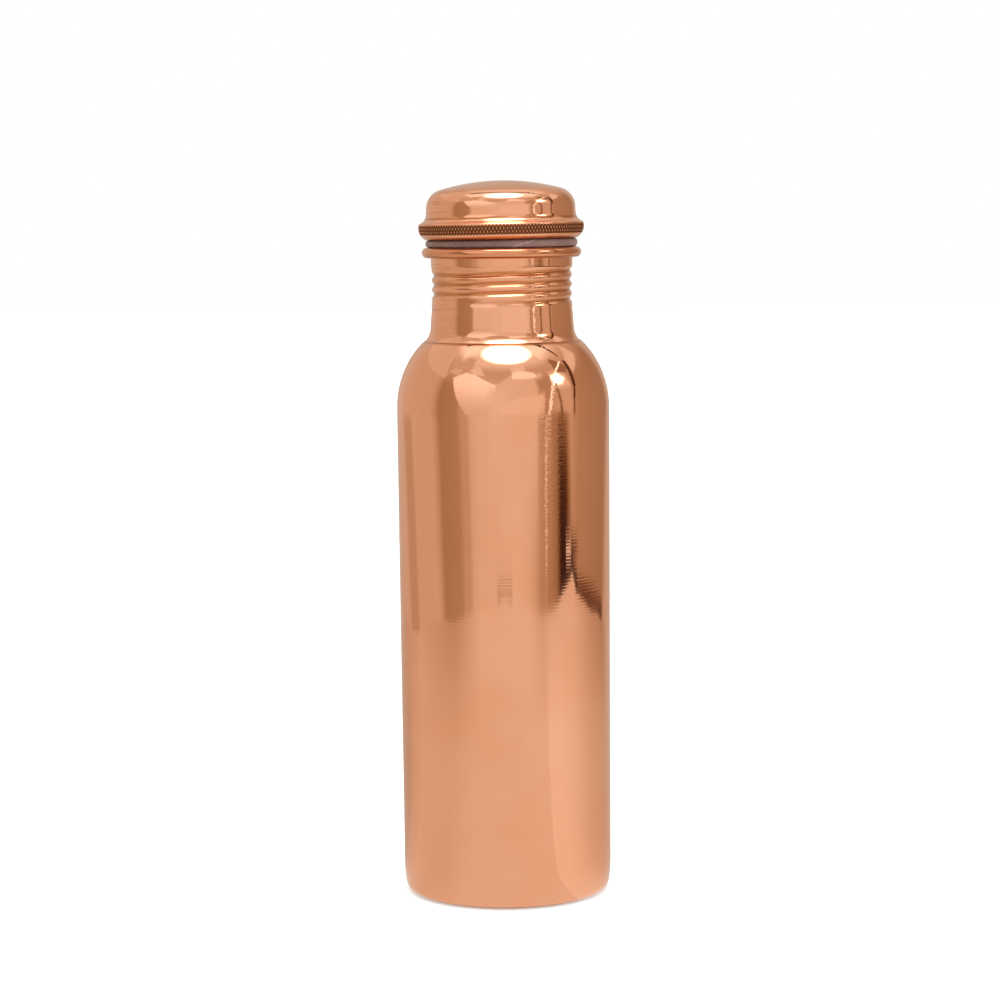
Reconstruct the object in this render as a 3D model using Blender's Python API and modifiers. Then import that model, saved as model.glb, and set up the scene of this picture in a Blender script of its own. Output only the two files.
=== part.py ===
"""Copper water bottle with a screw-in lid.

The bottle is a drawn sheet-copper body, a dished base pan brazed inside its foot, and a neck sleeve
whose thread is rolled into the sheet, so that it shows outside as a helical groove and stands inside
as a ridge. The lid is a domed cap shell with a rolled rim, a threaded plug cup held in that rim, and
a flat silicone gasket between the rim and the lip.

Units are metres and +Z is up. The origin is on the axis, on the plane that the bottle stands on.
"""
import math

import bpy

mm = 0.001

# Driving dimensions
overall_height = 260.0 * mm
sheet = 0.6 * mm               # thickness of the copper sheet
gap = 0.3 * mm                 # clearance left between touching or brazed pieces
turn_steps = 40                # facets around a turned piece

# Body
foot_inner_radius = 30.0 * mm
foot_radius = 33.88 * mm       # outer edge of the flat ring that the bottle stands on
corner_radius = 3.58 * mm
soft_radius = 51.0 * mm        # long soft curve from the base corner into the wall
soft_angle = 9.0
wall_start = 11.0 * mm
low_radius = 38.05 * mm
high_radius = 38.7 * mm
shoulder_start = 177.6 * mm
shoulder_reach = 26.0 * mm     # half axes of the elliptical shoulder
shoulder_rise = 31.0 * mm
mouth_radius = 28.75 * mm      # opening in the shoulder that takes the neck sleeve

# Neck sleeve
skirt_radius = 27.55 * mm
skirt_bottom = 197.6 * mm
skirt_top = 201.5 * mm
flare_radius = 7.4 * mm
neck_low_radius = 25.5 * mm
neck_low_height = 207.1 * mm
thread_bore = 24.6 * mm        # inner radius of the neck where the thread is rolled in
thread_zone_bottom = 216.5 * mm
thread_zone_top = 228.1 * mm
lip_foot = 231.5 * mm          # height where the neck, widening above its thread, meets the lip's bore
lip_bore = 25.12 * mm
lip_bead_radius = 1.75 * mm
lip_top = 235.85 * mm

# Thread: a right-handed single start, rolled into the neck and out of the plug
lead = 3.4 * mm
rows_per_turn = 6              # rows of the mesh in each lead
runout = 90.0                  # angle over which the thread fades in or out
neck_helix = 224.2 * mm        # height of the neck's ridge at angle zero
neck_thread_depth = 0.75 * mm
neck_first_angle = -850.0
neck_last_angle = 430.0
plug_thread_depth = 0.7 * mm
plug_first_angle = -380.0
plug_last_angle = 500.0

# Gasket
gasket_inner_radius = 24.9 * mm
gasket_outer_radius = 27.5 * mm
gasket_thickness = 2.5 * mm
gasket_edge = 0.9 * mm

# Cap shell
crown_radius = 80.0 * mm
dome_corner = 7.0 * mm
dome_radius = 27.0 * mm
dome_foot_radius = 27.1 * mm
rim_fillet = 4.0 * mm
rim_fillet_height = 248.2 * mm
rim_centre_radius = 25.35 * mm
rim_centre_height = 243.2 * mm
rim_radius = 4.7 * mm
rim_inner_radius = 24.9 * mm

# Plug cup
plug_radius = 23.5 * mm
plug_bottom = 220.6 * mm
plug_corner = 1.5 * mm
plug_thread_top = 231.0 * mm
plug_flange_radius = 27.0 * mm
plug_flange_fillet = 1.2 * mm

# Base pan
pan_rim_top = 8.5 * mm
dish_radius = 26.0 * mm
dish_step = 1.5 * mm
dish_height = 3.4 * mm


def arc(centre_r, centre_z, radius, start, end, steps):
    """Points on an arc in the profile plane, with its angles in degrees."""
    return ellipse_arc(centre_r, centre_z, radius, radius, start, end, steps)


def ellipse_arc(centre_r, centre_z, reach, rise, start, end, steps):
    points = []
    for i in range(steps + 1):
        angle = math.radians(start + (end - start) * i / steps)
        points.append((centre_r + reach * math.cos(angle), centre_z + rise * math.sin(angle)))
    return points


def thread_rows(radius, start_z, end_z):
    """Evenly spaced points up or down a straight wall, close enough to hold the thread's form."""
    steps = math.ceil(abs(end_z - start_z) / lead * rows_per_turn)
    return [(radius, start_z + (end_z - start_z) * i / steps) for i in range(steps + 1)]


def body_outline():
    """Outer face, from the shoulder's opening down to the inner edge of the foot ring."""
    centre = high_radius - shoulder_reach
    top_angle = math.degrees(math.acos((mouth_radius - centre) / shoulder_reach))
    outline = ellipse_arc(centre, shoulder_start, shoulder_reach, shoulder_rise, top_angle, 0.0, 8)
    outline += arc(low_radius - soft_radius, wall_start, soft_radius, 0.0, -soft_angle, 2)
    outline += arc(foot_radius, corner_radius, corner_radius, -soft_angle, -90.0, 4)[1:]
    outline.append((foot_inner_radius, 0.0))
    return outline


def pan_outline():
    """Under face, from the top of the upturned rim to the raised centre."""
    inset = sheet + gap
    outline = [(low_radius - inset - 0.15 * mm, pan_rim_top)]
    outline += arc(foot_radius, corner_radius, corner_radius - inset, -soft_angle, -90.0, 3)
    outline.append((dish_radius, inset))
    outline.append((dish_radius - dish_step, inset + dish_step))
    outline.append((0.0, dish_height))
    return outline


def neck_outline():
    """Inner face from the skirt up to the lip, then over and around the rolled lip bead."""
    flare_centre = neck_low_radius + flare_radius
    bead_centre_r = lip_bore + lip_bead_radius
    bead_centre_z = lip_top - lip_bead_radius
    outline = [(skirt_radius, skirt_bottom), (skirt_radius, skirt_top)]
    outline += arc(flare_centre, neck_low_height, flare_radius, 225.0, 180.0, 4)
    outline += thread_rows(thread_bore, thread_zone_bottom, thread_zone_top)
    outline.append((lip_bore, lip_foot))
    outline += arc(bead_centre_r, bead_centre_z, lip_bead_radius, 180.0, -105.0, 8)
    return outline


def cap_outline():
    """Outer face, from the crown down the dome, around the rolled rim and in under it."""
    corner_r = dome_radius - dome_corner
    crown_base = overall_height - crown_radius
    lean = math.asin(corner_r / (crown_radius - dome_corner))
    corner_z = crown_base + (crown_radius - dome_corner) * math.cos(lean)
    crown_edge = 90.0 - math.degrees(lean)
    fillet_centre = dome_foot_radius + rim_fillet
    outline = arc(0.0, crown_base, crown_radius, 90.0, crown_edge, 3)
    outline[0] = (0.0, overall_height)
    outline += arc(corner_r, corner_z, dome_corner, crown_edge, 0.0, 5)[1:]
    outline += arc(fillet_centre, rim_fillet_height, rim_fillet, 180.0, 245.0, 3)
    outline += arc(rim_centre_radius, rim_centre_height, rim_radius, 10.0, -65.0, 5)
    outline.append((rim_inner_radius, rim_under()))
    return outline


def rim_under():
    """Height of the rim's flat underside."""
    return rim_centre_height - rim_radius * math.sin(math.radians(65.0))


def plug_outline():
    """Outer face, from the flange's edge down the wall to the middle of the bottom."""
    flange_z = rim_under() + sheet + gap
    fillet_r = plug_radius + plug_flange_fillet
    fillet_z = flange_z - plug_flange_fillet
    outline = [(plug_flange_radius, flange_z)]
    outline += arc(fillet_r, fillet_z, plug_flange_fillet, 90.0, 180.0, 3)
    outline += thread_rows(plug_radius, plug_thread_top, plug_bottom + plug_corner)
    outline += arc(plug_radius - plug_corner, plug_bottom + plug_corner, plug_corner, 0.0, -90.0, 3)[1:]
    outline.append((0.0, plug_bottom))
    return outline


def gasket_section():
    """Closed section with its outer edges rounded, starting at its inner top corner."""
    bottom = lip_top + gap
    top = bottom + gasket_thickness
    edge_r = gasket_outer_radius - gasket_edge
    section = [(gasket_inner_radius, top)]
    section += arc(edge_r, top - gasket_edge, gasket_edge, 90.0, 0.0, 3)
    section += arc(edge_r, bottom + gasket_edge, gasket_edge, 0.0, -90.0, 3)
    section.append((gasket_inner_radius, bottom))
    return section


def turned(name, profile, collection, material, closed=False):
    """A piece turned about Z from a profile at +X that runs down its outer side."""
    edges = [(i, i + 1) for i in range(len(profile) - 1)]
    if closed:
        edges.append((len(profile) - 1, 0))
    mesh = bpy.data.meshes.new(name)
    mesh.from_pydata([(r, 0.0, z) for r, z in profile], edges, [])
    mesh.materials.append(material)
    piece = bpy.data.objects.new(name, mesh)
    collection.objects.link(piece)
    screw = piece.modifiers.new("Turn", "SCREW")
    screw.axis = "Z"
    screw.angle = math.tau
    screw.steps = turn_steps
    screw.render_steps = turn_steps
    screw.use_merge_vertices = True
    screw.merge_threshold = 0.00001
    screw.use_smooth_shade = True
    return piece


def make_sheet(piece):
    """Give a turned surface the sheet's thickness, behind its face."""
    thicken = piece.modifiers.new("Sheet", "SOLIDIFY")
    thicken.thickness = sheet
    thicken.offset = -1.0
    thicken.use_even_offset = True


def thread_form(angle, height, helix_height, first_angle, last_angle):
    """Height of the thread's form at a point of the wall: 1 on the helix, 0 midway between its turns."""
    turns = (height - helix_height) / lead - angle / 360.0
    turn = round(turns)
    along = angle + 360.0 * turn
    fade = min(along - first_angle, last_angle - along) / runout
    fade = max(0.0, min(1.0, fade))
    return fade * (1.0 + math.cos(math.tau * (turns - turn))) / 2.0


def roll_thread(piece, depth, helix_height, first_angle, last_angle):
    """Push the turned wall in or out along a helix, outwards for a positive depth."""
    depsgraph = bpy.context.evaluated_depsgraph_get()
    mesh = bpy.data.meshes.new_from_object(piece.evaluated_get(depsgraph))
    for vert in mesh.vertices:
        radius = math.hypot(vert.co.x, vert.co.y)
        angle = math.degrees(math.atan2(vert.co.y, vert.co.x))
        push = depth * thread_form(angle, vert.co.z, helix_height, first_angle, last_angle)
        if push:
            vert.co.x *= (radius + push) / radius
            vert.co.y *= (radius + push) / radius
    piece.modifiers.clear()
    piece.data = mesh


def metal(name, colour, roughness):
    material = bpy.data.materials.new(name)
    material.use_nodes = True
    shader = material.node_tree.nodes["Principled BSDF"]
    shader.inputs["Base Color"].default_value = colour
    shader.inputs["Metallic"].default_value = 1.0
    shader.inputs["Roughness"].default_value = roughness
    return material


def silicone(name, colour):
    material = bpy.data.materials.new(name)
    material.use_nodes = True
    shader = material.node_tree.nodes["Principled BSDF"]
    shader.inputs["Base Color"].default_value = colour
    shader.inputs["Metallic"].default_value = 0.0
    shader.inputs["Roughness"].default_value = 0.45
    return material


def new_collection(name):
    collection = bpy.data.collections.new(name)
    bpy.context.scene.collection.children.link(collection)
    return collection


def main():
    for old in list(bpy.data.objects):
        bpy.data.objects.remove(old, do_unlink=True)
    bottle = new_collection("copper_water_bottle")

    polished = metal("polished_copper", (0.85, 0.45, 0.28, 1.0), 0.12)
    inside = metal("plain_copper", (0.72, 0.36, 0.22, 1.0), 0.3)
    seal = silicone("grey_silicone", (0.36, 0.30, 0.31, 1.0))

    body = turned("body_shell", body_outline(), bottle, polished)
    pan = turned("base_pan", pan_outline(), bottle, inside)
    neck = turned("neck_sleeve", neck_outline(), bottle, polished)
    cap = turned("cap_shell", cap_outline(), bottle, polished)
    plug = turned("plug_cup", plug_outline(), bottle, inside)
    turned("lid_gasket", gasket_section(), bottle, seal, closed=True)

    roll_thread(neck, -neck_thread_depth, neck_helix, neck_first_angle, neck_last_angle)
    plug_helix = neck_helix + lead / 2.0
    roll_thread(plug, plug_thread_depth, plug_helix, plug_first_angle, plug_last_angle)
    for piece in (body, pan, neck, cap, plug):
        make_sheet(piece)


main()
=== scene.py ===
"""Looks of the copper water bottle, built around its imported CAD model.

Every piece is turned again at a fine pitch, with the details that the CAD model leaves out: the
knurled rim, the rolled thread at full resolution, the cut in the gasket and the slight unevenness of
drawn sheet. The copper is a mirror, so most of its look comes from what stands around it: the world
holds a plain studio, made of soft boxes, dark gaps and tan walls, and a pale table lies under it.

Units are metres, in the CAD frame: +Z is up, and the camera looks along +Y.
"""
import math

import bmesh
import bpy
import numpy as np
from mathutils import Matrix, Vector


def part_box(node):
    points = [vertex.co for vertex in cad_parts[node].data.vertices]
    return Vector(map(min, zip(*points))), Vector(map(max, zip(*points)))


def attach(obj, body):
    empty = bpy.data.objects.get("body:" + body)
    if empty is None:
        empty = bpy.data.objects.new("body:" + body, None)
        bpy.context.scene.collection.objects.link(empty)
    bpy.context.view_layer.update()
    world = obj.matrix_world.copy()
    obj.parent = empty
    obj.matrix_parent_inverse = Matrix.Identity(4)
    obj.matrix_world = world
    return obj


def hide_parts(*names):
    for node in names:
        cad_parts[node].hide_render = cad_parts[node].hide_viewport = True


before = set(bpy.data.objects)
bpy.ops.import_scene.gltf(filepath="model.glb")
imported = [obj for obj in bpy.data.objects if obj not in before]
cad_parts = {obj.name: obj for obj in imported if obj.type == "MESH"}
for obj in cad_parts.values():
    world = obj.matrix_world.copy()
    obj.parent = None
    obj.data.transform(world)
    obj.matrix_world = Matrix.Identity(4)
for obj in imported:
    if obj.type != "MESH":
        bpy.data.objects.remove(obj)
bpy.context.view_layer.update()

mm = 0.001

_, body_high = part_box("body_shell")
neck_low, neck_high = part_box("neck_sleeve")
_, gasket_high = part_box("lid_gasket")
cap_low, cap_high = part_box("cap_shell")
plug_low, plug_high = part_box("plug_cup")
pan_low, pan_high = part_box("base_pan")

# Copper sheet
sheet = 0.6 * mm
dent_depth = 0.05 * mm
dent_spacing = 70.0 * mm

# Body, from the foot up
foot_inner_radius = 30.0 * mm
foot_radius = 33.88 * mm
corner_radius = 3.58 * mm
soft_radius = 51.0 * mm
soft_angle = 9.0
wall_start = 11.0 * mm
low_radius = 38.05 * mm
high_radius = body_high.x
shoulder_start = 177.6 * mm
shoulder_reach = 26.0 * mm
shoulder_rise = 31.0 * mm
mouth_radius = 28.35 * mm

# Neck sleeve: radii of its inner face
skirt_radius = 27.55 * mm
skirt_bottom = neck_low.z
skirt_top = 201.5 * mm
flare_radius = 7.4 * mm
neck_low_radius = 25.5 * mm
neck_low_height = 207.1 * mm
thread_bore = 24.75 * mm
thread_zone_bottom = 216.5 * mm
thread_zone_top = 228.1 * mm
lip_foot = 229.2 * mm
lip_bore = 25.12 * mm
lip_bead_radius = 1.88 * mm
lip_bead_root = 232.7 * mm
lip_top = neck_high.z + 0.25 * mm

# Thread, right-handed. Angles are in degrees along it
lead = 3.4 * mm
runout = 90.0
groove_reach = 0.42  # parts of the lead, to each side of the groove's middle
groove_floor = 0.04  # likewise, and at full depth
neck_helix = 224.2 * mm
neck_thread_depth = -0.68 * mm
neck_thread_angles = (-850.0, 430.0)
plug_thread_depth = 0.7 * mm
plug_thread_angles = (-380.0, 500.0)

# Gasket, and the slanting cut that joins its ends
gasket_inner_radius = 24.9 * mm
gasket_edge = 1.2 * mm
gasket_bottom = lip_top + 0.03 * mm
gasket_top = cap_low.z - 0.05 * mm
cut_start_angle = -84.0
cut_slant_angle = 22.0
cut_half_angle = 0.9
cut_depth = 0.05 * mm

# Cap shell
crown_radius = 80.0 * mm
dome_corner = 7.0 * mm
dome_radius = 27.0 * mm
dome_foot_radius = 27.1 * mm
rim_root = 246.6 * mm
rim_fillet = 3.6 * mm
rim_fillet_height = 248.3 * mm
rim_centre_radius = 25.35 * mm
rim_centre_height = 243.2 * mm
rim_radius = cap_high.x - rim_centre_radius
rim_inner_radius = 24.9 * mm
knurl_bottom = 240.7 * mm
knurl_top = 244.3 * mm
knurl_edge = 0.25 * mm
knurl_count = 145
knurl_height = 2.28 * mm
knurl_depth = 0.45 * mm
knurl_slope = 1.25  # steep enough to leave flat tops on the diamonds

# Plug cup
plug_radius = 23.5 * mm
plug_bottom = plug_low.z
plug_corner = 1.5 * mm
plug_thread_top = 231.0 * mm
plug_flange_radius = plug_high.x
plug_flange_fillet = 1.2 * mm

# Base pan
dish_radius = 26.0 * mm
dish_step = 1.5 * mm
dish_height = 3.4 * mm

# The lid leans in the slack of its thread, in degrees
lid_lean = 0.6

# Gloss of the copper, as roughness from 0 to 1
polished_roughness = 0.037
plain_roughness = 0.24
marked_roughness = 0.3
neck_roughness_factor = 1.5
neck_roughness_heights = (200.0 * mm, 215.0 * mm)

# Relief in the copper: rings that the turning and polishing left, and the metal's grain
turning_pitch = 1.15 * mm
turning_share = 0.15
ripple_pitch = 1.1 * mm
polish_pitch = 0.35 * mm
ripple_depth = 0.0018 * mm
polish_depth = 0.0003 * mm
grain_depth = 0.0012 * mm
plain_relief_factor = 3.0

# A worn strip with coarse grain, on the body's right. Its edges fade from the first value, where
# there is none of it, to the second: azimuths in degrees, and heights
worn_left = (17.0, 22.0)
worn_right = (35.0, 29.0)
worn_bottom = (112.0 * mm, 135.0 * mm)
worn_grain_factor = 14.0

# Brushed metal on the left of the neck and the lid, with edges like the worn strip's; its streaky
# reflections are painted into the colour
brushed_right = (-28.0, -42.0)
brushed_left = (-170.0, -130.0)
brushed_bottom = (200.0 * mm, 210.0 * mm)
brushed_pitch = 0.7 * mm

# Darkening of the crease at the neck's foot, from 0 to 1: all around, and what the front has more
crease_darkening = 0.25
front_crease_darkening = 0.6
darkest_crease_angle = -82.0
crease_darkening_half_angle = 40.0

# Colours
polished_colour = (0.925, 0.448, 0.265)
plain_colour = (0.80, 0.37, 0.22)
# Tarnish and dark marks: grime in places, and painted shade in others
tarnish_and_shade_colour = (0.84, 0.32, 0.13)
grime_and_shade_colour = (0.13, 0.045, 0.022)
pit_colour = (0.2, 0.07, 0.03)
gasket_dark = (0.20, 0.105, 0.085)
gasket_pale = (0.24, 0.135, 0.115)
gasket_left_colour = (0.11, 0.045, 0.03)
gasket_cut = (0.42, 0.33, 0.31)

# Camera: place, lens in millimetres for its sensor, and how it is turned, in degrees
camera_place = (0.0, -1.0421, 0.2513)
sensor_width = 36.0
lens = 103.16
camera_pan = 0.0817
camera_down = 5.887
camera_roll = -0.6

# Under the bottle
floor_half_width = 6.0
floor_height = -0.2 * mm
floor_colour = (0.9, 0.9, 0.9)
floor_glow = 0.36
table_height = -0.1 * mm

# The table's edge as its reflection in the copper shows it, seen from above
table_corners = [
    (0.91, -0.21), (0.83, -0.12), (0.775, 0.076), (0.65, 0.34), (0.49, 0.49), (0.0, 0.72),
    (-0.50, 0.52), (-0.72, 0.0), (-0.67, -0.27), (-0.55, -0.485), (-0.38, -0.68), (0.0, -0.81),
    (0.32, -0.71), (0.545, -0.52), (0.645, -0.435), (0.755, -0.37),
]


# Outlines

def arc(centre_r, centre_z, radius, start, end, pitch=4.0):
    """Points on an arc in the profile plane, about pitch degrees apart."""
    return ellipse_arc(centre_r, centre_z, radius, radius, start, end, pitch)


def ellipse_arc(centre_r, centre_z, reach, rise, start, end, pitch=4.0):
    steps = max(2, math.ceil(abs(end - start) / pitch))
    angles = np.radians(np.linspace(start, end, steps + 1))
    return list(zip(centre_r + reach * np.cos(angles), centre_z + rise * np.sin(angles)))


def line(start, end, pitch):
    """Points after start, up to end, about pitch apart."""
    length = math.dist(start, end)
    steps = max(1, round(length / pitch))
    return [
        (start[0] + (end[0] - start[0]) * i / steps, start[1] + (end[1] - start[1]) * i / steps)
        for i in range(1, steps + 1)
    ]


def body_outline():
    """Outer face, from the mouth over the shoulder, down the wall and around to the foot ring."""
    centre = high_radius - shoulder_reach
    top_angle = math.degrees(math.acos((mouth_radius - centre) / shoulder_reach))
    outline = ellipse_arc(centre, shoulder_start, shoulder_reach, shoulder_rise, top_angle, 0.0, 1.5)
    outline += line(outline[-1], (low_radius, wall_start), 2.5 * mm)
    outline += arc(low_radius - soft_radius, wall_start, soft_radius, 0.0, -soft_angle, 1.5)[1:]
    outline += arc(foot_radius, corner_radius, corner_radius, -soft_angle, -90.0)[1:]
    outline += line(outline[-1], (foot_inner_radius, 0.0), 1.0 * mm)
    return outline


def pan_outline():
    """Lower face, from the rim's edge around the corner and over the dish's step to the middle."""
    inset = corner_radius + foot_radius - pan_high.x
    step_height = pan_low.z + dish_step / 2
    outline = [(pan_high.x, pan_high.z)]
    outline += arc(foot_radius, corner_radius, corner_radius - inset, -soft_angle, -90.0)
    outline += arc(dish_radius, step_height, dish_step / 2, -90.0, -135.0, 8.0)
    outline += arc(dish_radius - 2 * dish_step, step_height, dish_step, 45.0, 90.0, 8.0)
    outline += line(outline[-1], (0.0, dish_height), 2.0 * mm)
    return outline


def neck_outline():
    """Inner face from the skirt up to the lip, then over and around the rolled lip bead."""
    flare_centre = neck_low_radius + flare_radius
    bead_centre_r = lip_bore + lip_bead_radius
    bead_centre_z = lip_top - lip_bead_radius
    outline = [(skirt_radius, skirt_bottom), (skirt_radius, skirt_top)]
    outline += arc(flare_centre, neck_low_height, flare_radius, 225.0, 180.0, 2.0)
    outline += line(outline[-1], (thread_bore, thread_zone_bottom), 0.5 * mm)
    outline += line(outline[-1], (thread_bore, thread_zone_top), 0.17 * mm)
    outline += line(outline[-1], (lip_bore - 0.1 * mm, lip_foot), 0.17 * mm)
    outline += line(outline[-1], (lip_bore, bead_centre_z), 0.3 * mm)
    outline += arc(bead_centre_r, bead_centre_z, lip_bead_radius, 180.0, -105.0, 6.0)[1:]
    return outline


def cap_outline(density=1.0):
    """Outer face, from the crown down the dome, around the rolled rim and in under it.

    A lower density leaves fewer points on its arcs.
    """
    corner_r = dome_radius - dome_corner
    crown_base = cap_high.z - crown_radius
    lean_in = math.asin(corner_r / (crown_radius - dome_corner))
    corner_z = crown_base + (crown_radius - dome_corner) * math.cos(lean_in)
    crown_edge = 90.0 - math.degrees(lean_in)
    fillet_centre = dome_foot_radius + rim_fillet
    outline = arc(0.0, crown_base, crown_radius, 90.0, crown_edge, 1.4 / density)
    outline[0] = (0.0, cap_high.z)
    outline += arc(corner_r, corner_z, dome_corner, crown_edge, 0.0, 4.0 / density)[1:]
    outline += arc(fillet_centre, rim_fillet_height, rim_fillet, 180.0, 250.0, 5.0 / density)
    outline += arc(rim_centre_radius, rim_centre_height, rim_radius, 15.0, -65.0, 2.2 / density)
    outline += line(outline[-1], (rim_inner_radius, cap_low.z), 1.0 * mm)
    return outline


def plug_outline():
    """Outer face, from the flange's edge down the wall to the middle of the bottom."""
    fillet_r = plug_radius + plug_flange_fillet
    fillet_z = plug_high.z - plug_flange_fillet
    corner_z = plug_bottom + plug_corner
    outline = [(plug_flange_radius, plug_high.z)]
    outline += arc(fillet_r, fillet_z, plug_flange_fillet, 90.0, 180.0, 8.0)
    outline += line(outline[-1], (plug_radius, plug_thread_top), 1.0 * mm)
    outline += line(outline[-1], (plug_radius, corner_z), 0.2 * mm)
    outline += arc(plug_radius - plug_corner, corner_z, plug_corner, 0.0, -90.0, 8.0)[1:]
    outline += line(outline[-1], (0.0, plug_bottom), 3.0 * mm)
    return outline


def gasket_section():
    """Closed section with rounded outer edges."""
    edge_r = gasket_high.x - gasket_edge
    section = [(gasket_inner_radius, gasket_top)]
    section += arc(edge_r, gasket_top - gasket_edge, gasket_edge, 90.0, 0.0, 8.0)
    section += arc(edge_r, gasket_bottom + gasket_edge, gasket_edge, 0.0, -90.0, 8.0)
    section.append((gasket_inner_radius, gasket_bottom))
    return section


def behind(outline, thickness):
    """The outline's other face, that far to the right of its direction."""
    points = np.array(outline)
    along = np.gradient(points, axis=0)
    along /= np.linalg.norm(along, axis=1, keepdims=True)
    moved = points + thickness * np.stack([along[:, 1], -along[:, 0]], axis=1)
    moved[points[:, 0] == 0.0, 0] = 0.0
    return [tuple(point) for point in moved]


def sheet_section(outline, thickness, back=None):
    """Section of a sheet: its face, and its back in the other direction.

    back is the face's outline with fewer points, where the back needs fewer.
    """
    return outline + behind(back or outline, thickness)[::-1]


# Meshes

def turned(name, section, segments, push=None):
    """A section turned about Z. It is closed, or starts and ends on the axis.

    push takes angles in degrees, radii and heights, and gives how far each point moves out and how
    strongly it is marked, from 0 to 1: grime in places, painted shade in others, and the gasket's
    cut.
    """
    section = np.array(section)
    on_axis = section[0, 0] == 0.0
    angles = np.arange(segments) * 360.0 / segments
    ring = section[1:-1] if on_axis else section
    radii = np.repeat(ring[:, :1], segments, axis=1)
    heights = np.repeat(ring[:, 1:], segments, axis=1)
    turn = np.repeat(angles[None, :], len(ring), axis=0)
    marks_and_shade = np.zeros_like(radii)
    if push:
        moved, marks_and_shade = push(turn, radii, heights)
        radii = radii + moved
    across = radii * np.cos(np.radians(turn))
    away = radii * np.sin(np.radians(turn))
    points = np.stack([across, away, heights], axis=-1).reshape(-1, 3)
    rows = np.arange(len(ring))
    if on_axis:
        rows = rows[:-1]
    after = np.arange(segments)
    following = (after + 1) % segments
    lower = rows[:, None] * segments
    upper = ((rows + 1) % len(ring))[:, None] * segments
    quads = np.stack([lower + after, lower + following, upper + following, upper + after], axis=-1)
    faces = quads.reshape(-1, 4).tolist()
    if on_axis:
        first = len(points)
        last = first + 1
        points = np.vstack([points, [0.0, 0.0, section[0, 1]], [0.0, 0.0, section[-1, 1]]])
        end = (len(ring) - 1) * segments
        faces += [(first, following[i], after[i]) for i in range(segments)]
        faces += [(last, end + after[i], end + following[i]) for i in range(segments)]
    mesh = bpy.data.meshes.new(name)
    mesh.from_pydata(points.tolist(), [], faces)
    values = np.zeros(len(points), np.float32)
    values[: marks_and_shade.size] = marks_and_shade.ravel()
    mesh.attributes.new("marks_and_shade", "FLOAT", "POINT").data.foreach_set("value", values)
    work = bmesh.new()
    work.from_mesh(mesh)
    bmesh.ops.recalc_face_normals(work, faces=work.faces)
    work.to_mesh(mesh)
    work.free()
    mesh.shade_smooth()
    return placed(name, mesh)


def placed(name, data):
    """A new object that is in the scene."""
    made = bpy.data.objects.new(name, data)
    bpy.context.scene.collection.objects.link(made)
    return made


def clamped(value):
    return np.clip(value, 0.0, 1.0)


def bump(value, middle, width):
    """1 at middle, and falling off to both sides within about width."""
    return np.exp(-(((value - middle) / width) ** 2))


def turned_from(angle, middle):
    """Degrees past middle, from -180 to 180."""
    return (angle - middle + 180.0) % 360.0 - 180.0


def thread_form(angle, height, helix_height, angles):
    """1 on the helix, and 0 midway between its turns. It fades out where the thread ends."""
    turns = (height - helix_height) / lead - angle / 360.0
    turn = np.round(turns)
    along = angle + 360.0 * turn
    fade = clamped(np.minimum(along - angles[0], angles[1] - along) / runout)
    side = clamped((groove_reach - np.abs(turns - turn)) / (groove_reach - groove_floor))
    return fade * side * side * (3.0 - 2.0 * side)


def waves(angle, height, count, most_around, spacing, amplitude, seed):
    """Slight unevenness: a few slow waves around and up the wall."""
    random = np.random.default_rng(seed)
    total = np.zeros_like(angle)
    for _ in range(count):
        turns = random.integers(1, most_around + 1)
        climb = random.uniform(-1.0, 1.0) / spacing
        phase = random.uniform(0.0, math.tau)
        total += np.sin(np.radians(angle) * turns + math.tau * climb * height + phase)
    return amplitude * total / count


def darkened_crease(angle):
    """How dark the crease at the neck's foot is: most near the front."""
    near_front = bump(turned_from(angle, darkest_crease_angle), 0.0, crease_darkening_half_angle)
    return crease_darkening + front_crease_darkening * near_front


def body_push(angle, radius, height):
    """Uneven between the foot and the mouth, with a darker crease at the mouth, and a line of
    painted shade along the foot for the contact shadow that the copper reflects.
    """
    between_ends = clamped(height / (20.0 * mm)) * clamped((body_high.z - height) / (15.0 * mm))
    dents = waves(
        angle, height, count=8, most_around=7, spacing=dent_spacing, amplitude=dent_depth, seed=4)
    crease = darkened_crease(angle) * clamped((height - body_high.z + 0.25 * mm) / (0.2 * mm))
    # Painted shade along the foot: a dark line for the contact shadow that the copper reflects there
    foot = 0.75 * clamped((1.0 * mm - height) / (0.5 * mm))
    return between_ends * dents, crease + foot


def neck_push(angle, radius, height):
    """The rolled thread, darker in its groove and in the crease, with painted shade under the lip's
    bead.
    """
    threaded = radius < lip_bore + 0.5 * sheet + lip_bead_radius
    threaded &= height < thread_zone_top + lead
    form = np.where(threaded, thread_form(angle, height, neck_helix, neck_thread_angles), 0.0)
    crease = darkened_crease(angle) * clamped((skirt_top + 0.5 * mm - height) / (0.4 * mm))
    # Painted shade under the lip's bead
    shade_under_bead = bump(height, lip_bead_root, 0.35 * mm)
    bead = clamped((height - lip_bead_root - 0.3 * mm) / (0.5 * mm))
    marks_and_shade = 0.3 * form + crease + 0.6 * shade_under_bead + 0.15 * bead
    return neck_thread_depth * form, clamped(marks_and_shade)


def plug_push(angle, radius, height):
    """The plug's own thread, half a turn from the neck's."""
    threaded = (radius > plug_radius - 1.5 * sheet) & (height < plug_thread_top + lead)
    form = thread_form(angle, height, neck_helix + lead / 2, plug_thread_angles)
    return plug_thread_depth * np.where(threaded, form, 0.0), np.zeros_like(angle)


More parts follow.
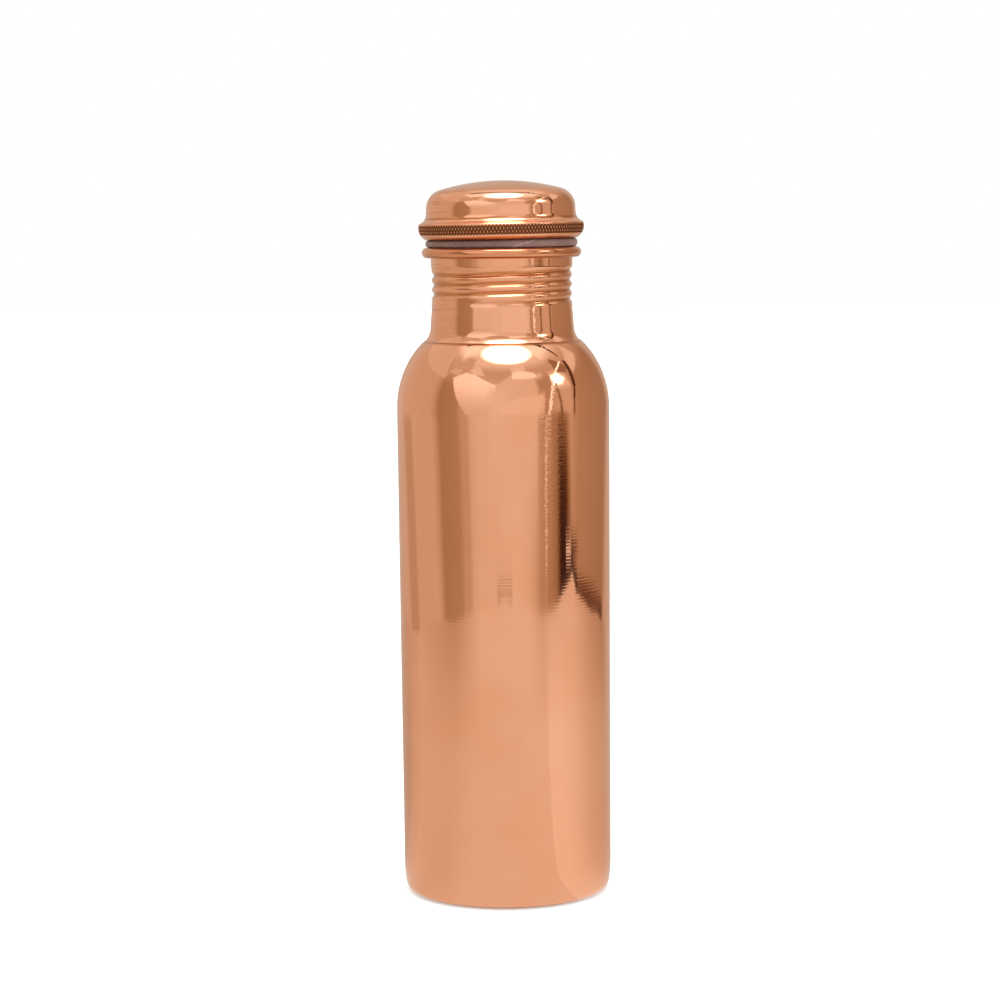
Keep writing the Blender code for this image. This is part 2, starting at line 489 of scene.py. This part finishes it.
def cap_push(angle, radius, height):
    """Knurled diamonds around the rim, with grime in their grooves, a darker line in the fillet
    above them, and painted shade under the rim.
    """
    around = knurl_count * angle / 360.0
    up = (height - knurl_bottom) / knurl_height
    ridges = []
    for slant in (around + up, around - up):
        from_groove = np.abs(slant - np.round(slant)) * 2.0
        ridges.append(clamped(from_groove * knurl_slope))
    diamond = np.minimum(*ridges)
    band = clamped((height - knurl_bottom) / knurl_edge) * clamped((knurl_top - height) / knurl_edge)
    band = np.where(radius > dome_radius + 0.5 * mm, band, 0.0)
    groove = band * (1.0 - diamond)
    outside = radius > dome_radius - 0.1 * mm
    fillet = bump(height, rim_root, 0.3 * mm) * outside
    # Painted shade under the rim, just over the gasket
    under = clamped((knurl_bottom - 0.3 * mm - height) / (1.5 * mm))
    return -knurl_depth * groove, clamped(2.1 * groove + 0.4 * fillet + 0.42 * under)


def gasket_push(angle, radius, height):
    """A fine slanting cut, where the ring's ends are joined."""
    rise = (height - gasket_bottom) / (gasket_top - gasket_bottom)
    from_cut = turned_from(angle, 0.0) - (cut_start_angle + rise * cut_slant_angle)
    cut = bump(from_cut, 0.0, cut_half_angle) * (radius > gasket_inner_radius + 1.0 * mm)
    return -cut_depth * cut, cut


# Shader trees

class Graph:
    """Short calls for the nodes of one tree. A value is a number or another node's output."""

    def __init__(self, tree):
        self.tree = tree

    def node(self, kind, inputs=(), **settings):
        made = self.tree.nodes.new("ShaderNode" + kind)
        for key, value in settings.items():
            setattr(made, key, value)
        for key, value in dict(inputs).items():
            self.feed(made.inputs[key], value)
        return made

    def feed(self, socket, value):
        if isinstance(value, bpy.types.NodeSocket):
            self.tree.links.new(value, socket)
        else:
            socket.default_value = value

    def math(self, operation, first, second=0.0):
        return self.node("Math", {0: first, 1: second}, operation=operation).outputs[0]

    def multiply(self, first, *others):
        for value in others:
            first = self.math("MULTIPLY", first, value)
        return first

    def add(self, first, second):
        return self.math("ADD", first, second)

    def combine(self, x, y, z):
        return self.node("CombineXYZ", {"X": x, "Y": y, "Z": z}).outputs[0]

    def separate(self, vector):
        return self.node("SeparateXYZ", {0: vector}).outputs

    def length(self, vector):
        return self.node("VectorMath", {0: vector}, operation="LENGTH").outputs[1]

    def azimuth(self, x, y):
        """Degrees around from the camera's side, towards +X."""
        return self.math("DEGREES", self.math("ARCTAN2", x, self.multiply(y, -1.0)))

    def between(self, value, low, high, to_low=0.0, to_high=1.0):
        """A smooth step from to_low to to_high as value goes from low to high."""
        inputs = {"Value": value, "From Min": low, "From Max": high}
        inputs.update({"To Min": to_low, "To Max": to_high})
        return self.node("MapRange", inputs, interpolation_type="SMOOTHSTEP").outputs[0]

    def blend(self, factor, first, second):
        return self.node("Mix", {0: factor, 2: first, 3: second}).outputs[0]

    def blend_colour(self, factor, first, second):
        """Mix two colours. Each is red, green and blue, or another node's output."""
        inputs = {0: factor}
        for key, colour in ((6, first), (7, second)):
            inputs[key] = (*colour, 1.0) if isinstance(colour, tuple) else colour
        return self.node("Mix", inputs, data_type="RGBA").outputs[2]

    def noise(self, vector, scale, detail=2.0):
        inputs = {"Vector": vector, "Scale": scale, "Detail": detail}
        return self.node("TexNoise", inputs).outputs[0]

    def relief(self, height, depth, under=None):
        """A normal with bumps that are depth metres high, on top of the relief under it."""
        inputs = {"Height": height, "Distance": depth, "Strength": 1.0}
        if under:
            inputs["Normal"] = under
        return self.node("Bump", inputs).outputs[0]

    def ramp(self, value, stops):
        """Straight lines between stops of (place from 0 to 1, value)."""
        made = self.node("ValToRGB", {"Fac": value})
        elements = made.color_ramp.elements
        while len(elements) < len(stops):
            elements.new(0.5)
        for element, (place, level) in zip(elements, stops):
            element.position = place
            element.color = (level, level, level, 1.0)
        return made.outputs[0]

    def profile(self, azimuth, stops):
        """Brightness around the horizon from stops of (azimuth in degrees, brightness)."""
        place = self.math("MULTIPLY_ADD", azimuth, 1.0 / 360.0)
        place.node.inputs[2].default_value = 0.5
        return self.ramp(place, [((angle + 180.0) / 360.0, level) for angle, level in stops])

    def patch(self, at, under, corners, brightness, soft=2.0):
        """A convex patch over what is under it. Corners go clockwise, seen from inside."""
        inside = 1000.0
        for (x0, y0), (x1, y1) in zip(corners, corners[1:] + corners[:1]):
            length = math.hypot(x1 - x0, y1 - y0)
            inward = ((y1 - y0) / length, -(x1 - x0) / length)
            edge = (*inward, -(inward[0] * x0 + inward[1] * y0))
            side = self.node("VectorMath", {0: at, 1: edge}, operation="DOT_PRODUCT").outputs[1]
            inside = self.math("MINIMUM", inside, side)
        return self.blend(self.between(inside, -soft / 2.0, soft / 2.0), under, brightness)

    def streak(self, at, under, points, width, brightness):
        """A thin bent line of light or dark."""
        for (x0, y0), (x1, y1) in zip(points, points[1:]):
            length = math.hypot(x1 - x0, y1 - y0)
            out = (-(y1 - y0) / length * width / 2.0, (x1 - x0) / length * width / 2.0)
            corners = [
                (x0 + out[0], y0 + out[1]), (x1 + out[0], y1 + out[1]),
                (x1 - out[0], y1 - out[1]), (x0 - out[0], y0 - out[1]),
            ]
            under = self.patch(at, under, corners, brightness, 0.8)
        return under

    def tan_light(self, brightness):
        """The room's light: white where it is bright, and brown where it is dim."""
        dimness = self.math("MINIMUM", brightness, 1.15)
        green = self.multiply(brightness, self.math("POWER", dimness, 0.33))
        blue = self.multiply(brightness, self.math("POWER", dimness, 0.75))
        inputs = {0: brightness, 1: self.add(green, 0.006), 2: self.add(blue, 0.012)}
        return self.node("CombineColor", inputs).outputs[0]


def new_material(name):
    """A material, the graph of its tree and its main shader."""
    material = bpy.data.materials.new(name)
    material.use_nodes = True
    return material, Graph(material.node_tree), material.node_tree.nodes["Principled BSDF"]


# The studio. Places in it are azimuth and elevation in degrees, and each function adds to the
# light that it is given.

def room(g, azimuth, elevation):
    """Walls and an upper wall. The walls close in slightly towards the table."""
    spread = g.math("SUBTRACT", 0.894, g.multiply(elevation, 0.023))
    walls = g.profile(g.multiply(azimuth, g.math("MAXIMUM", spread, 0.98)), [
        (-180, 0.62), (-158, 0.62), (-145, 0.68), (-137, 0.66), (-134, 0.56), (-120, 0.57),
        (-116, 0.70), (-84, 0.70), (-79, 0.62), (-73, 0.44), (-55, 0.47), (-50, 0.50),
        (-47, 0.60), (-40, 0.62), (-36, 0.76), (-26, 0.83), (-10, 0.80), (12, 0.88), (26, 0.84),
        (35, 0.74), (43, 0.54), (49, 0.55), (57, 0.38), (64, 0.30), (74, 0.54), (80, 0.60),
        (90, 0.49), (110, 0.46), (137, 0.40), (143, 0.42), (152, 0.60), (180, 0.60),
    ])
    upper = g.between(elevation, 44.0, 58.0, 0.66, 0.96)
    return g.blend(g.between(elevation, 22.0, 42.0), walls, upper)


def left_boards(g, at, light):
    """Boards at the left and behind, with a thin dark edge between two of them."""
    light = g.patch(
        at, light, [(-150, 30), (-150, 84), (-110, 84), (-76, 34), (-76, 30)], 0.80, 3.0)
    light = g.patch(
        at, light, [(-77, 42), (-92, 63), (-50, 60), (-47, 50), (-55, 42)], 0.70, 4.0)
    light = g.streak(at, light, [(-99, 68), (-77, 38)], 1.2, 0.58)
    return g.patch(at, light, [(-155, -4.2), (-155, 30), (-110, 30), (-110, -4.2)], 0.69, 1.0)


def front_panels(g, at, elevation, light):
    """Two tall pale panels in front, with a notch of wall between their tops."""
    left_panel = g.between(elevation, -2.0, 36.0, 0.82, 1.22)
    low_panel = g.between(elevation, -6.0, 0.0, 0.86, 0.94)
    for corners, brightness, soft in (
        # The left panel, and what lies around its top
        ([(-76, 38), (-70, 43), (-58, 43), (-58, 36)], 0.80, 1.5),
        ([(-41, -3), (-53, 13), (-65, 33), (-51, 42), (-37, 41.5), (-7, 29.5), (-3, -3)],
         left_panel, 1.5),
        ([(-52, 41), (-40, 52.5), (-34, 50.5), (-17, 35), (-37, 41)], 0.94, 2.0),
        # The right panel, brighter at its top and dim at its right edge
        ([(-8, -4), (-8, 29.5), (12, 43), (52, 40), (44, -4)], 0.86, 2.0),
        ([(-14, -6), (-14, 25), (4, 25), (4, -6)], 0.90, 14.0),
        ([(12, 37), (13, 45), (22, 48), (42, 42), (44, 36)], 1.25, 4.0),
        ([(12, 46), (11, 57), (34, 54), (34, 47)], 0.95, 4.0),
        ([(-5, -6), (0, 8), (18, 15), (46, 18), (36, -6)], low_panel, 3.0),
        ([(40, 18), (41, 34), (62, 36), (59, 20)], 0.52, 8.0),
    ):
        light = g.patch(at, light, corners, brightness, soft)
    return light


def right_lamp(g, at, elevation, light):
    """A lamp in a bright frame on the right, with dark gaps beside it."""
    dusty = g.between(elevation, -9.0, -2.0, 0.46, 0.66)
    for corners, brightness, soft in (
        # The lamp's housing
        ([(49, -12), (50, -1), (56, 20), (66, 22), (66, -1), (62, -12)], dusty, 4.0),
        ([(68, -4), (67, 22), (84, 24), (80, -4)], 0.70, 4.0),
        ([(60, 20), (62, 38), (84, 38), (84, 20)], 0.95, 7.0),
        ([(74, 36), (76, 50), (84, 50), (95, 36), (88, 31)], 0.36, 3.0),
        # Its light, with a dark catch at the corner
        ([(62, 25), (64, 34), (74, 34), (79, 28), (74, 25)], 6.0, 5.0),
        ([(63.5, 23), (63.5, 26), (67.5, 26), (67.5, 23)], 0.2, 1.5),
    ):
        light = g.patch(at, light, corners, brightness, soft)
    for points, width, brightness in (
        # A dark edge, and the bright frame to both sides of the light
        ([(67, -5), (65.5, 8), (64.5, 22)], 2.6, 0.3),
        ([(50.5, -3), (54, 12), (61, 26)], 2.4, 1.4),
        ([(61, 26), (66, 32), (77, 38), (92, 43)], 1.3, 2.6),
        # A dark gap that grows wider upwards
        ([(83, -4), (84.5, 8)], 2.4, 0.26),
        ([(84.5, 8), (89.5, 18)], 2.4, 0.09),
        ([(89.5, 18), (94, 30), (99, 41)], 4.5, 0.10),
    ):
        light = g.streak(at, light, points, width, brightness)
    return g.patch(at, light, [(98, 28), (102, 40), (126, 48), (126, 34)], 0.92, 3.0)


def table_rim(g, at, elevation, light):
    """What shows just over the table's far edge: most of it is low on the right."""
    gap = g.between(elevation, -6.0, -4.3, 0.05, 0.30)
    for corners, brightness, soft in (
        # A dim gap with a dark middle
        ([(53.5, -12), (53.5, -3), (66, -3), (66, -12)], 0.40, 8.0),
        ([(59.5, -12), (62, -3.5), (71, -3.5), (81, -12)], gap, 8.0),
        # The foot of the lamp's bright frame
        ([(45.5, -7.5), (46, -5), (47.2, -5), (46.7, -7.5)], 1.0, 0.8),
        ([(45.5, -5), (50.5, -3.5), (53, -3.5), (48, -5)], 0.95, 1.4),
        # Dark things that stand behind the edge, with a small bright bulb between them
        ([(85, -12), (85, -7.75), (132, -8.1), (132, -12)], 0.15, 0.25),
        ([(66, -12), (67, -7.3), (79, -7.35), (86, -7.7), (86, -12)], 0.05, 0.15),
        ([(76, -7.3), (76, -6.98), (84, -7.0), (87, -7.15), (82, -7.25)], 0.05, 0.15),
        ([(70, -7.29), (70, -7.11), (77, -7.11), (76, -7.29)], 1.4, 0.1),
        # A dim line in front
        ([(-9, -12), (-8, -8.1), (8, -8.1), (9, -12)], 0.64, 0.12),
    ):
        light = g.patch(at, light, corners, brightness, soft)
    return light


def overhead(g, direction, light):
    """The overhead lamp, the ceiling that it lights, and a dark slot behind.

    Places are on a level plane, with its height over the bottle as the unit.
    """
    x, y, z = g.separate(direction)
    flat_x = g.math("DIVIDE", x, z)
    flat_y = g.math("DIVIDE", y, z)
    at = g.combine(flat_x, flat_y, 1.0)
    ceiling = light
    for corners, brightness, soft in (
        ([(-0.65, -0.2), (-0.55, 0.2), (0.60, 0.2), (0.65, -0.2)], 1.35, 0.25),
        ([(-0.45, 0.14), (-0.45, 0.24), (0.5, 0.24), (0.5, 0.14)], 0.03, 0.02),
        ([(0.45, 0.15), (0.45, 0.21), (0.95, 0.17), (0.95, 0.14)], 0.03, 0.02),
    ):
        ceiling = g.patch(at, ceiling, corners, brightness, soft)

    # The lamp is an ellipse about (0.06, -0.30), which reaches 0.35 sideways and 0.30 forwards
    sideways = g.math("POWER", g.math("DIVIDE", g.math("SUBTRACT", flat_x, 0.06), 0.35), 2.0)
    forwards = g.math("POWER", g.math("DIVIDE", g.add(flat_y, 0.30), 0.30), 2.0)
    from_lamp = g.math("SQRT", g.add(sideways, forwards))
    glow = g.between(from_lamp, 1.25, 0.8, 0.0, 5.0)
    return g.blend(g.between(z, 0.3, 0.35), light, g.add(ceiling, glow))


def studio_world():
    """What the copper reflects. The camera and matt surfaces get plain white light instead."""
    world = bpy.data.worlds.new("studio")
    bpy.context.scene.world = world
    world.use_nodes = True
    world.node_tree.nodes.clear()
    g = Graph(world.node_tree)
    direction = g.node("TexCoord").outputs["Generated"]
    x, y, z = g.separate(direction)
    azimuth = g.azimuth(x, y)
    elevation = g.math("DEGREES", g.math("ARCSINE", z))
    at = g.combine(azimuth, elevation, 1.0)

    light = room(g, azimuth, elevation)
    light = left_boards(g, at, light)
    light = front_panels(g, at, elevation, light)
    light = right_lamp(g, at, elevation, light)
    light = table_rim(g, at, elevation, light)
    light = overhead(g, direction, light)

    path = g.node("LightPath")
    unseen = g.math("MAXIMUM", path.outputs["Is Camera Ray"], path.outputs["Is Diffuse Ray"])
    colour = g.blend_colour(unseen, g.tan_light(light), (1.0, 1.0, 1.0))
    background = g.node("Background", {"Color": colour, "Strength": 1.0})
    output = g.node("OutputWorld", {"Surface": background.outputs[0]})
    output.is_active_output = True


def plain_mesh(name, corners, height):
    """A flat face, placed in the scene."""
    mesh = bpy.data.meshes.new(name)
    mesh.from_pydata([(x, y, height) for x, y in corners], [], [tuple(range(len(corners)))])
    piece = placed(name, mesh)
    return piece


def floor():
    """A wide pale floor that the copper doesn't reflect."""
    half = floor_half_width
    corners = [(-half, -half), (half, -half), (half, half), (-half, half)]
    piece = plain_mesh("floor", corners, floor_height)
    piece.visible_glossy = False
    material, g, shader = new_material("pale_floor")
    g.feed(shader.inputs["Base Color"], (*floor_colour, 1.0))
    g.feed(shader.inputs["Roughness"], 0.9)
    g.feed(shader.inputs["Emission Color"], (1.0, 1.0, 1.0, 1.0))
    g.feed(shader.inputs["Emission Strength"], floor_glow)
    piece.data.materials.append(material)


def table():
    """The pale table that only the copper reflects. It glows with painted light and shade that
    change around it, and painted shadow darkens parts of its far edge.
    """
    piece = plain_mesh("reflected_table", table_corners, table_height)
    for ray in ("camera", "diffuse", "transmission", "volume_scatter", "shadow"):
        setattr(piece, "visible_" + ray, False)
    material = bpy.data.materials.new("pale_table")
    material.use_nodes = True
    material.node_tree.nodes.clear()
    g = Graph(material.node_tree)
    place = g.node("TexCoord").outputs["Object"]
    x, y, _ = g.separate(place)
    azimuth = g.azimuth(x, y)
    near = g.profile(azimuth, [
        (-180, 0.56), (-150, 0.56), (-128, 0.60), (-122, 0.68), (-100, 0.78), (-60, 0.77),
        (-30, 0.83), (0, 0.85), (30, 0.87), (44, 0.88), (47, 1.0), (49, 0.96), (60, 0.96),
        (75, 0.90), (98, 0.76), (130, 0.64), (180, 0.58),
    ])
    far = g.profile(azimuth, [
        (-180, 0.60), (-140, 0.60), (-105, 0.73), (-75, 0.64), (-55, 0.59), (-40, 0.72),
        (-25, 0.87), (25, 0.87), (40, 0.76), (50, 0.86), (76, 0.85), (90, 0.74), (105, 0.62),
        (130, 0.48), (145, 0.62), (180, 0.60),
    ])
    light = g.blend(g.between(g.length(place), 0.28, 0.72), near, far)
    emission = g.node("Emission", {"Color": g.tan_light(light), "Strength": 1.0})
    g.node("OutputMaterial", {"Surface": emission.outputs[0]})
    piece.data.materials.append(material)


# Materials of the bottle

class Surface:
    """Where a point of the metal is, as outputs of nodes."""

    def __init__(self, graph):
        self.graph = graph
        self.place = graph.node("TexCoord").outputs["Object"]
        self.x, self.y, self.z = graph.separate(self.place)
        self.radius = graph.length(graph.combine(self.x, self.y, 0.0))
        self.across = graph.math("SUBTRACT", self.radius, self.z)
        self.azimuth = graph.azimuth(self.x, self.y)

    def rings(self, spread, pitch, detail):
        """Noise that is stretched into rings around the axis, pitch apart."""
        g = self.graph
        stretched = g.combine(
            g.math("DIVIDE", self.x, spread),
            g.math("DIVIDE", self.y, spread),
            g.math("DIVIDE", self.across, pitch))
        return g.noise(stretched, 1.0, detail)


def darker(colour, share):
    """The colour with that share of its red, green and blue."""
    return tuple(level * part for level, part in zip(colour, share))


def copper_colour(g, at, marks_and_shade, colour):
    """Slow patches of warmer metal, brushed streaks on the neck's left with painted sheen, tarnish
    and dark marks, and pits. The marks are grime in places and painted shade in others, and the
    tarnish colour edges both.
    """
    patches = g.between(g.noise(at.place, 28.0, 3.0), 0.35, 0.7)
    tone = g.blend_colour(patches, colour, darker(colour, (0.97, 0.93, 0.90)))
    brushed = g.multiply(
        g.between(at.azimuth, *brushed_right),
        g.between(at.azimuth, *brushed_left),
        g.between(at.z, *brushed_bottom))
    # Painted sheen: darker streaks in the colour, for the streaky reflections of the brushed metal
    brushed_sheen_streaks = g.between(at.rings(20.0 * mm, brushed_pitch, 2.0), 0.5, 0.68)
    tone = g.blend_colour(g.multiply(brushed, brushed_sheen_streaks), tone, darker(colour, (0.82, 0.76, 0.72)))
    # The marks: grime in the knurl's grooves, a darker crease and thread groove, and painted shade
    # under the rim, under the lip's bead and along the foot
    tone = g.blend_colour(g.between(marks_and_shade, 0.0, 0.3), tone, tarnish_and_shade_colour)
    tone = g.blend_colour(marks_and_shade, tone, grime_and_shade_colour)
    cells = g.node("TexVoronoi", {"Vector": at.place, "Scale": 130.0})
    cell_red = g.node("SeparateColor", {0: cells.outputs["Color"]}).outputs[0]
    pit = g.multiply(
        g.between(cells.outputs["Distance"], 0.045, 0.02), g.between(cell_red, 0.94, 0.96))
    return g.blend_colour(g.multiply(pit, 0.7), tone, pit_colour)


def copper_relief(g, at, relief_factor):
    """Turning and polishing rings, and the metal's grain, which is coarse where it is worn."""
    turning = g.math("SINE", g.multiply(at.across, math.tau / turning_pitch))
    ripple = g.add(at.rings(25.0 * mm, ripple_pitch, 1.0), g.multiply(turning, turning_share))
    polish = at.rings(30.0 * mm, polish_pitch, 3.0)
    worn = g.multiply(
        g.between(at.azimuth, *worn_left),
        g.between(at.azimuth, *worn_right),
        g.between(at.z, *worn_bottom),
        g.between(at.radius, 20.0 * mm, 24.0 * mm))
    coarseness = g.add(1.0, g.multiply(worn, worn_grain_factor))
    grain = g.multiply(g.noise(at.place, 1000.0, 1.0), coarseness)
    normal = g.relief(ripple, ripple_depth * relief_factor)
    normal = g.relief(polish, polish_depth * relief_factor, normal)
    return g.relief(grain, grain_depth * relief_factor, normal)


def copper(name, colour, roughness, relief_factor=1.0, brushed_around=True):
    """Sheet copper, darkened by its marks: grime in some grooves, and painted shade in other places.
    The neck and the lid are duller than the body.

    brushed_around is for metal that was polished as it turned, which draws its highlights out.
    """
    material, g, shader = new_material(name)
    at = Surface(g)
    marks_and_shade = g.node("Attribute", attribute_name="marks_and_shade").outputs["Fac"]
    g.feed(shader.inputs["Base Color"], copper_colour(g, at, marks_and_shade, colour))
    g.feed(shader.inputs["Metallic"], 1.0)

    cloudy = g.between(g.noise(at.place, 60.0, 4.0), 0.3, 0.75, 0.85, 1.35)
    neck_roughness = roughness * neck_roughness_factor
    clean = g.between(at.z, *neck_roughness_heights, roughness, neck_roughness)
    rough = g.add(g.multiply(clean, cloudy), g.multiply(marks_and_shade, marked_roughness))
    g.feed(shader.inputs["Roughness"], rough)
    if brushed_around:
        g.feed(shader.inputs["Anisotropic"], 0.4)
        g.feed(shader.inputs["Anisotropic Rotation"], 0.25)
        around = g.node("Tangent", direction_type="RADIAL", axis="Z")
        g.feed(shader.inputs["Tangent"], around.outputs[0])

    g.feed(shader.inputs["Normal"], copper_relief(g, at, relief_factor))
    return material


def silicone(name):
    """Cloudy silicone, darker towards its left, and pale in its cut."""
    material, g, shader = new_material(name)
    place = g.node("TexCoord").outputs["Object"]
    x, y, _ = g.separate(place)
    cloudy = g.between(g.noise(place, 120.0, 3.0), 0.3, 0.7)
    leftward = g.between(g.azimuth(x, y), 25.0, -10.0)
    cut = g.node("Attribute", attribute_name="marks_and_shade").outputs["Fac"]
    body = g.blend_colour(cloudy, gasket_dark, gasket_pale)
    body = g.blend_colour(g.multiply(leftward, 0.5), body, gasket_left_colour)
    g.feed(shader.inputs["Base Color"], g.blend_colour(cut, body, gasket_cut))
    g.feed(shader.inputs["Roughness"], g.between(cloudy, 0.0, 1.0, 0.3, 0.42))
    g.feed(shader.inputs["Normal"], g.relief(g.noise(place, 1500.0), 3e-6))
    return material


def camera():
    """The photograph's view: from the front, a little above the middle, looking slightly down."""
    data = bpy.data.cameras.new("camera")
    data.sensor_width = sensor_width
    data.lens = lens
    data.clip_start = 0.01
    view = placed("camera", data)
    pan = Matrix.Rotation(math.radians(camera_pan), 4, "Z")
    tilt = Matrix.Rotation(math.radians(90.0 - camera_down), 4, "X")
    roll = Matrix.Rotation(math.radians(camera_roll), 4, "Z")
    view.matrix_world = Matrix.Translation(camera_place) @ pan @ tilt @ roll
    bpy.context.scene.camera = view


def lean(piece, low, high):
    """Lean a piece as the lid leans: not at all at low, fully from high on up."""
    slope = math.tan(math.radians(lid_lean))
    for vert in piece.data.vertices:
        share = min(1.0, max(0.0, (vert.co.z - low) / (high - low)))
        across = vert.co.x - share * slope * (vert.co.z - lip_top)
        up = vert.co.z + share * slope * vert.co.x
        vert.co.x = across
        vert.co.z = up


camera()
studio_world()
floor()
table()
bpy.context.scene.view_settings.view_transform = "Standard"

polished = copper("polished_copper", polished_colour, polished_roughness)
plain = copper(
    "plain_copper", plain_colour, plain_roughness, plain_relief_factor, brushed_around=False)
seal = silicone("grey_silicone")

body_section = sheet_section(body_outline(), sheet)
pan_section = sheet_section(pan_outline(), sheet)[::-1]
neck_section = sheet_section(neck_outline(), sheet)
cap_section = sheet_section(cap_outline(), sheet, back=cap_outline(density=0.3))
plug_section = sheet_section(plug_outline(), sheet)

body = turned("body_visual", body_section, segments=384, push=body_push)
pan = turned("pan_visual", pan_section, segments=192)
neck = turned("neck_visual", neck_section, segments=256, push=neck_push)
gasket = turned("gasket_visual", gasket_section(), segments=720, push=gasket_push)
cap = turned("cap_visual", cap_section, segments=6 * knurl_count, push=cap_push)
plug = turned("plug_visual", plug_section, segments=256, push=plug_push)

# The gasket leans at its top only, and the cap and the plug lean as a whole
lean(gasket, gasket_bottom, gasket_top)
for piece in (cap, plug):
    lean(piece, -1.0, 0.0)

for piece, body_name, node, slot, material in (
    (body, "bottle", "body_shell", "polished_copper", polished),
    (pan, "bottle", "base_pan", "plain_copper", plain),
    (neck, "bottle", "neck_sleeve", "polished_copper", polished),
    (gasket, "gasket", "lid_gasket", "gasket", seal),
    (cap, "lid", "cap_shell", "polished_copper", polished),
    (plug, "lid", "plug_cup", "plain_copper", plain),
):
    piece.data.materials.append(material)
    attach(piece, body_name)
    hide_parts(node)
